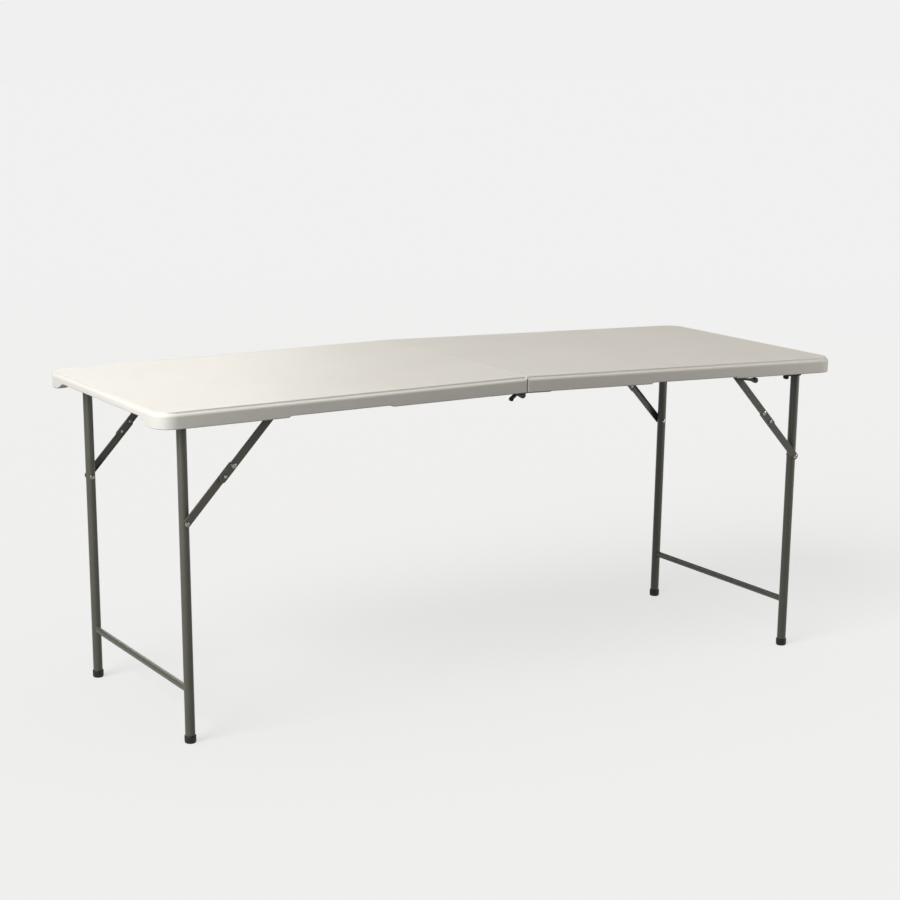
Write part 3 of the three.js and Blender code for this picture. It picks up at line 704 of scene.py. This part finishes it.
def build_cross_members(label, place):
    made = lathe([(6.8, -309.5), (7.6, -309.5), (8.0, -309.1), (8.0, -150), (8.0, 150), (8.0, 309.1),
                  (7.6, 309.5), (6.8, 309.5), (6.6, 309.2), (6.6, -309.2)], sides=48, closed=True)
    made.piece(f"pivot_tube_{label}", "frame_paint", f"leg_frame_{label}", place,
               nodes=[f"leg_cross_tube_{label}"], sharp=60)
    bar = Build()
    z = FLOOR_Z + CROSSBAR_ABOVE_FLOOR
    rings = []
    for end in (-1, -0.5, 0.5, 1):
        ring = []
        for x, pz in circle(CROSSBAR_RADIUS, 40):
            seat = math.sqrt((LEG_RADIUS + 0.15) ** 2 - x * x) if abs(end) == 1 else 0.0
            ring.append((x, end * (LEG_Y - seat), z + pz))
        rings.append(bar.ring(ring))
    for a, b in zip(rings, rings[1:]):
        bar.skin(a, b)
    bar.cap(rings[0])
    bar.cap(rings[-1], flip=True)
    bar.piece(f"crossbar_tube_{label}", "frame_paint", f"leg_frame_{label}", place,
              nodes=[f"leg_crossbar_{label}"], sharp=60)


def build_foot_cap(label, side, place):
    where = front_or_rear(label, side)
    profile = [(0.0, 0.0), (9.8, 0.0), (11.2, 0.5), (12.2, 1.7), (12.7, 3.4), (13.0, 5.5), (13.0, 16.2),
               (12.7, 17.3), (12.0, 17.9), (11.6, 17.9), (11.3, 17.4), (11.3, 6.0), (0.0, 6.0)]
    made = lathe(profile, sides=56)
    made.moved(Matrix.Translation((0.0, side * LEG_Y, FLOOR_Z)) @ Matrix.Rotation(math.pi / 2, 4, "X"))
    # The underside is level with the floor, not square to the leg.
    up = place.to_3x3().inverted() @ Vector((0, 0, 1))
    for vertex in made.bm.verts:
        height = (place @ (vertex.co * MM)).z / MM
        if vertex.co.z < FLOOR_Z + 3.0:
            vertex.co += up * (max(height, (vertex.co.z - FLOOR_Z)) + 0.02 - height)
    made.piece(f"foot_cap_moulded_{label}_{where}", "black_plastic", f"leg_frame_{label}", place,
               nodes=[f"foot_cap_{label}_{where}"], sharp=60)


def build_leg_pin(label, side, place):
    where = front_or_rear(label, side)
    start, end = LEG_Y - LEG_RADIUS - 0.3, LOWER_FACE + 0.3
    inner = [(r, 2 * start - y) for r, y in reversed(rivet_head(5.5, 2.9, start))]
    made = lathe(inner + [(3.0, start), (3.0, end)] + rivet_head(5.5, 2.1, end, hollow=1.1), side)
    made.moved(Matrix.Translation((0, 0, -BRACE_DROP)))
    made.piece(f"leg_rivet_{label}_{where}", "zinc", f"leg_frame_{label}", place,
               nodes=[f"leg_pin_{label}_{where}"])


# ---- Braces, drawn along +x from their own pivot with the outer face at y = 0 --------------------


def link_matrix(base, side, x, y, z, turn):
    flip = Matrix.Rotation(0.0 if side > 0 else math.pi, 4, "X")
    place = Matrix.Translation((x * MM, side * y * MM, z * MM))
    return base @ place @ Matrix.Rotation(turn, 4, "Y") @ flip


def build_link(name, length, holes, body, matrix, node):
    outline = arc(length, 0, LINK_R, -90, 90, 20) + arc(0, 0, LINK_R, 90, 270, 20)
    made = sheet_metal(outline, -1.6, 0.0, [circle(r, 28, (x, 0.0)) for x, r in holes])
    for edge in (-1, 1):
        section = [(LINK_R - 0.02, -0.9), (LINK_R - 0.02, -LINK_DEPTH + 0.5), (LINK_R - 0.35, -LINK_DEPTH),
                   (LINK_R - 1.3, -LINK_DEPTH), (LINK_R - 1.62, -LINK_DEPTH + 0.5), (LINK_R - 1.62, -0.9)]
        ends = []
        for x, tuck in ((-1.0, 0.8), (2.0, 0.0), (length - 2.0, 0.0), (length + 1.0, 0.8)):
            ends.append(made.ring([(x, min(y + tuck, -0.9), edge * z) for z, y in section]))
        for a, b in zip(ends, ends[1:]):
            made.skin(a, b)
        made.cap(ends[0])
        made.cap(ends[-1])
    made.piece(name, "frame_paint", body, matrix, nodes=[node], bevel=0.5, segments=3)


def build_braces(label, side, base, leg_place):
    where = front_or_rear(label, side)
    tag = f"{label}_{where}"
    lower = link_matrix(leg_place, side, 0.0, LOWER_FACE, -BRACE_DROP, BRACE_ANGLE - math.pi)
    build_link(f"lower_link_steel_{tag}", LOWER,
               [(0, 3.3), (LOWER, 3.3), (LOWER - BUTTON_PAST_ELBOW, 4.8)],
               f"lower_link_{tag}", lower, f"brace_lower_link_{tag}")
    upper = link_matrix(base, side, LEG_X - BRACE_REACH, UPPER_FACE, PIVOT_Z, BRACE_ANGLE)
    build_link(f"upper_link_steel_{tag}", UPPER + OVERLAP,
               [(0, 3.3), (UPPER, 3.3), (UPPER + BUTTON_PAST_ELBOW, 4.8)],
               f"upper_link_{tag}", upper, f"brace_upper_link_{tag}")

    elbow = lathe([(0.0, -LINK_DEPTH), (2.6, -LINK_DEPTH), (3.0, -LINK_DEPTH + 0.4), (3.0, 0.3)]
                  + rivet_head(6.0, 2.1, 0.3, hollow=1.2))
    elbow.piece(f"elbow_rivet_steel_{tag}", "zinc", f"upper_link_{tag}",
                upper @ Matrix.Translation((UPPER * MM, 0, 0)), nodes=[f"elbow_rivet_{tag}"])
    pivot = lathe([(0.0, -LINK_DEPTH), (2.6, -LINK_DEPTH), (3.0, -LINK_DEPTH + 0.4), (3.0, 0.3), (6.0, 0.3),
                   (6.0, 5.2), (3.0, 5.2), (3.0, 7.6)] + rivet_head(5.0, 2.0, 7.6))
    pivot.piece(f"brace_pivot_steel_{tag}", "frame_paint", f"half_{label}", upper,
                nodes=[f"brace_pivot_{tag}"])
    button = lathe([(0.0, -LINK_DEPTH), (3.4, -LINK_DEPTH), (4.0, -LINK_DEPTH + 0.5), (4.0, -2.7),
                    (6.0, -2.7), (6.0, -1.9), (4.35, -1.9), (4.35, 1.7), (4.1, 2.2), (3.5, 2.55),
                    (2.4, 2.7), (0.0, 2.75)])
    button.piece(f"lock_button_steel_{tag}", "zinc", f"button_{tag}",
                 upper @ Matrix.Translation(((UPPER + BUTTON_PAST_ELBOW) * MM, 0, 0)),
                 nodes=[f"lock_button_{tag}"])


# ---- Small hardware under the rims ---------------------------------------------------------------


def build_lock_bolt(label, side=1):
    place = half_matrix(label)
    outline = [(3.4, BOLT_TOP), (3.0, BOLT_TOP - 0.5), (3.0, BOLT_LOW + 0.9), (4.2, BOLT_LOW),
               (22.6, BOLT_LOW), (33.6, -4.4), (35.4, -7.2), (40.6, -4.6), (38.4, -1.0), (25.6, 7.6),
               (24.0, BOLT_TOP)]
    made = sheet_metal(outline, BOLT_INNER, BOLT_OUTER)
    for x in (4.6, 6.4, 15.6, 17.4, 19.2):
        ridge = brick(x, x + 0.9, BOLT_INNER + 0.8, BOLT_OUTER - 0.8, BOLT_LOW - 0.2, BOLT_LOW + 0.4)
        made.join(ridge)
    grip = lathe([(0.0, BOLT_INNER), (2.8, BOLT_INNER), (3.7, BOLT_INNER + 0.6),
                  (4.0, BOLT_INNER + 1.6), (4.0, BOLT_OUTER - 1.6), (3.7, BOLT_OUTER - 0.6),
                  (2.8, BOLT_OUTER), (0.0, BOLT_OUTER)])
    made.join(grip, across(side, 36.5, -4.8))
    made.piece(f"lock_bolt_moulded_{label}", "black_plastic", f"lock_bolt_{label}", place,
               nodes=[f"fold_lock_bolt_{label}"], bevel=0.45, segments=3)
    low, inner, outer = 1.3, 319.5, 335.6
    section = [(inner, UNDER_RIM), (inner, low + 1.5), (inner + 0.4, low + 0.4), (inner + 1.5, low),
               (outer - 1.5, low), (outer - 0.4, low + 0.4), (outer, low + 1.5), (outer, UNDER_RIM),
               (BOLT_OUTER + 0.4, UNDER_RIM), (BOLT_OUTER + 0.4, 3.2), (BOLT_INNER - 0.4, 3.2),
               (BOLT_INNER - 0.4, UNDER_RIM)]
    guide = Build()
    ends = [guide.ring([(x, y, z) for y, z in section]) for x in (8.0, 12.5)]
    guide.skin(*ends)
    guide.cap(ends[0])
    guide.cap(ends[1])
    guide.piece(f"bolt_guide_steel_{label}", "black_steel", f"half_{label}", place,
                nodes=[f"fold_lock_guide_{label}"], bevel=0.3)


def build_closing_latch(label, side=-1):
    place = half_matrix(label)
    px, pz = LATCH_X, LATCH_Z
    base = brick(px - 13, px + 13, -333, -316.5, UNDER_RIM - 1.2, UNDER_RIM)
    ear = [(px - 4, UNDER_RIM - 0.8), (px + 4, UNDER_RIM - 0.8), (px + 4, pz)] + arc(px, pz, 4.0, 0, -180, 12)
    base.join(sheet_metal(ear, -318.5, -316.5))
    axle = lathe([(0.0, 318.0), (1.5, 318.0), (1.5, 330.7), (1.2, 331.0), (0.0, 331.0)], side)
    base.join(axle, across(1, px, pz))
    for x in (px - 9.5, px + 9.5):
        base.join(lathe([(0.0, 0.0), (2.6, 0.0), (2.3, 0.9), (1.4, 1.3), (0.0, 1.4)], sides=24),
                  Matrix.Translation((x, -325.0, UNDER_RIM - 1.0)) @ Matrix.Rotation(-math.pi / 2, 4, "X"))
    base.piece(f"latch_bracket_steel_{label}", "black_steel", f"half_{label}", place,
               nodes=[f"closing_latch_bracket_{label}"], bevel=0.3)
    lever = link_matrix(place, side, px, 0.0, pz, LATCH_DROP)
    outline = arc(0, 0, 2.5, 90, 270, 12)
    outline += [(16, -2.4), (28, -3.0), (36, -4.8), (LATCH_LENGTH, -5.4)]
    outline += [(LATCH_LENGTH, 5.4), (36, 4.8), (28, 3.0), (16, 2.4)]
    made = sheet_metal(outline, LATCH_INNER, LATCH_OUTER, [circle(1.7, 20)])
    knob = lathe([(0.0, 318.5), (4.9, 318.5), (6.1, 319.1), (6.7, 320.3), (6.7, 328.2), (6.1, 329.4),
                  (4.9, 330.0), (0.0, 330.0)])
    made.join(knob, across(1, LATCH_LENGTH, 0.0))
    made.piece(f"closing_latch_moulded_{label}", "black_plastic", f"latch_{label}", lever,
               nodes=[f"closing_latch_{label}"], bevel=0.4, segments=3)


def build_buffer(label, side=-1):
    place = half_matrix(label)
    made = brick(757.5, 799.8, -330.8, -319.2, UNDER_RIM - 4.2, UNDER_RIM)
    bulb = lathe([(0.0, 319.0), (4.2, 319.0), (5.2, 319.7), (5.5, 320.8), (5.5, 329.2), (5.2, 330.3),
                  (4.2, 331.0), (0.0, 331.0)], side)
    made.join(bulb, across(1, 757.0, UNDER_RIM - 6.5))
    made.piece(f"buffer_moulded_{label}", "black_rubber", f"half_{label}", place,
               nodes=[f"closing_buffer_{label}"], bevel=0.5, segments=3)


for label in ("left", "right"):
    base = half_matrix(label)
    leg_place = base @ Matrix.Translation((LEG_X * MM, 0, PIVOT_Z * MM))
    build_top(label)
    build_cross_members(label, leg_place)
    for side in (-1, 1):
        build_rail(label, side)
        build_leaf(label, side)
        build_leg(label, side, leg_place)
        build_foot_cap(label, side, leg_place)
        build_leg_pin(label, side, leg_place)
        build_braces(label, side, base, leg_place)
    build_lock_bolt(label)
    build_closing_latch(label)
    build_buffer(label)
build_hinge_pin("front", -1)
build_hinge_pin("rear", 1)

# ---- Studio --------------------------------------------------------------------------------------


FLOOR_GLOW = 0.64
FLOOR_GLOW_FAR = 0.86
FLOOR_FADE = (2.0, 10.0)
BACKGROUND = 0.87
AMBIENT_BELOW = 0.05
AMBIENT_ABOVE = 0.50


def build_floor():
    mesh = bpy.data.meshes.new("studio_floor")
    made = bmesh.new()
    bmesh.ops.create_grid(made, x_segments=8, y_segments=8, size=60.0)
    made.to_mesh(mesh)
    made.free()
    ground = bpy.data.objects.new("studio_floor", mesh)
    bpy.context.scene.collection.objects.link(ground)
    look = Look("studio_floor", 0.9, specular=0.0)
    look.shader.inputs["Emission Strength"].default_value = 1.0
    radius = look.node("VectorMath", {0: look.place}, operation="LENGTH").outputs["Value"]
    fade = look.node("MapRange", {"Value": radius, "From Min": FLOOR_FADE[0], "From Max": FLOOR_FADE[1]},
                     interpolation_type="SMOOTHSTEP").outputs["Result"]
    look.colour(look.ramp(fade, (0.30, 0.30, 0.30), (0.02, 0.02, 0.02), 0.0, 1.0))
    look.links.new(look.ramp(fade, (FLOOR_GLOW,) * 3, (FLOOR_GLOW_FAR,) * 3, 0.0, 1.0),
                   look.shader.inputs["Emission Color"])
    mesh.materials.append(look.material)
    # The floor throws no light back on the table: the world's lower half stands for that.
    ground.visible_diffuse = False
    return ground


def build_world():
    """A plain pale background for the camera, and a warm ambient light that grows with height."""
    world = bpy.data.worlds.new("studio")
    world.use_nodes = True
    nodes, links = world.node_tree.nodes, world.node_tree.links
    seen = nodes["Background"]
    seen.inputs["Color"].default_value = (BACKGROUND, BACKGROUND, BACKGROUND, 1.0)
    ambient = nodes.new("ShaderNodeBackground")
    ambient.inputs["Color"].default_value = (1.0, 0.955, 0.88, 1.0)
    direction = nodes.new("ShaderNodeTexCoord")
    split = nodes.new("ShaderNodeSeparateXYZ")
    height = nodes.new("ShaderNodeMapRange")
    height.inputs["To Min"].default_value = AMBIENT_BELOW
    height.inputs["To Max"].default_value = AMBIENT_ABOVE
    links.new(direction.outputs["Generated"], split.inputs["Vector"])
    links.new(split.outputs["Z"], height.inputs["Value"])
    links.new(height.outputs["Result"], ambient.inputs["Strength"])
    mix = nodes.new("ShaderNodeMixShader")
    rays = nodes.new("ShaderNodeLightPath")
    links.new(rays.outputs["Is Camera Ray"], mix.inputs["Fac"])
    links.new(ambient.outputs["Background"], mix.inputs[1])
    links.new(seen.outputs["Background"], mix.inputs[2])
    links.new(mix.outputs["Shader"], nodes["World Output"].inputs["Surface"])
    bpy.context.scene.world = world


def light_only(lamp, ground, state):
    """Links a lamp to the floor: INCLUDE lights the floor alone, EXCLUDE everything but it."""
    receivers = bpy.data.collections.new(f"{lamp.name}_receivers")
    receivers.objects.link(ground)
    receivers.collection_objects[0].light_linking.link_state = state
    lamp.light_linking.receiver_collection = receivers


def area_light(name, place, target, size, power, colour):
    data = bpy.data.lights.new(name, "AREA")
    data.shape = "RECTANGLE"
    data.size, data.size_y = size
    data.energy = power
    data.color = colour
    lamp = bpy.data.objects.new(name, data)
    bpy.context.scene.collection.objects.link(lamp)
    lamp.location = place
    lamp.rotation_mode = "QUATERNION"
    lamp.rotation_quaternion = (Vector(target) - Vector(place)).to_track_quat("-Z", "Y")
    lamp.visible_camera = False
    return lamp


def sun_light(name, source, strength, angle):
    data = bpy.data.lights.new(name, "SUN")
    data.energy = strength
    data.angle = math.radians(angle)
    lamp = bpy.data.objects.new(name, data)
    bpy.context.scene.collection.objects.link(lamp)
    lamp.rotation_mode = "QUATERNION"
    lamp.rotation_quaternion = (-Vector(source)).to_track_quat("-Z", "Y")
    return lamp


floor = build_floor()
build_world()
key_white = (1.0, 0.997, 0.985)
warm = (1.0, 0.965, 0.915)
lamps = [
    area_light("key", place=(-4.1, -0.75, 3.2), target=(-0.2, 0.0, 0.6), size=(3.0, 2.8), power=205,
               colour=key_white),
    area_light("overhead", place=(0.6, 0.55, 4.5), target=(0.2, 0.0, 0.7), size=(4.0, 3.6), power=50,
               colour=warm),
    area_light("fill_right", place=(2.4, -1.3, 0.9), target=(0.6, -0.3, 0.65), size=(0.8, 0.8),
               power=17, colour=warm),
    area_light("fill_left", place=(-2.1, -0.95, 0.85), target=(-0.95, -0.3, 0.7), size=(0.7, 0.7),
               power=8, colour=key_white),
    area_light("back", place=(0.3, 3.6, 1.2), target=(0.0, 0.0, 0.7), size=(2.0, 2.0), power=30,
               colour=key_white),
]
for lamp in lamps:
    light_only(lamp, floor, "EXCLUDE")
floor_light = sun_light("floor_light", source=(-1.15, -0.5, 0.74), strength=2.6, angle=40)
light_only(floor_light, floor, "INCLUDE")

# ---- Camera --------------------------------------------------------------------------------------

CAMERA_PLACE = (-2.5716, -4.4305, 1.5173)
CAMERA_LENS = 86.05

camera_data = bpy.data.cameras.new("camera")
camera_data.sensor_width = 36.0
camera_data.lens = CAMERA_LENS
camera_data.clip_end = 200.0
camera = bpy.data.objects.new("camera", camera_data)
bpy.context.scene.collection.objects.link(camera)
yaw, pitch, roll = 0.5249, 0.1906, 0.0095
ahead = Vector((math.sin(yaw) * math.cos(pitch), math.cos(yaw) * math.cos(pitch), -math.sin(pitch)))
right = Vector((math.cos(yaw), -math.sin(yaw), 0.0))
up = right.cross(ahead)
level_right = right * math.cos(roll) + up * math.sin(roll)
level_up = up * math.cos(roll) - right * math.sin(roll)
facing = Matrix((level_right, level_up, -ahead)).transposed().to_4x4()
camera.matrix_world = Matrix.Translation(CAMERA_PLACE) @ facing
bpy.context.scene.camera = camera
bpy.context.scene.view_settings.view_transform = "Standard"
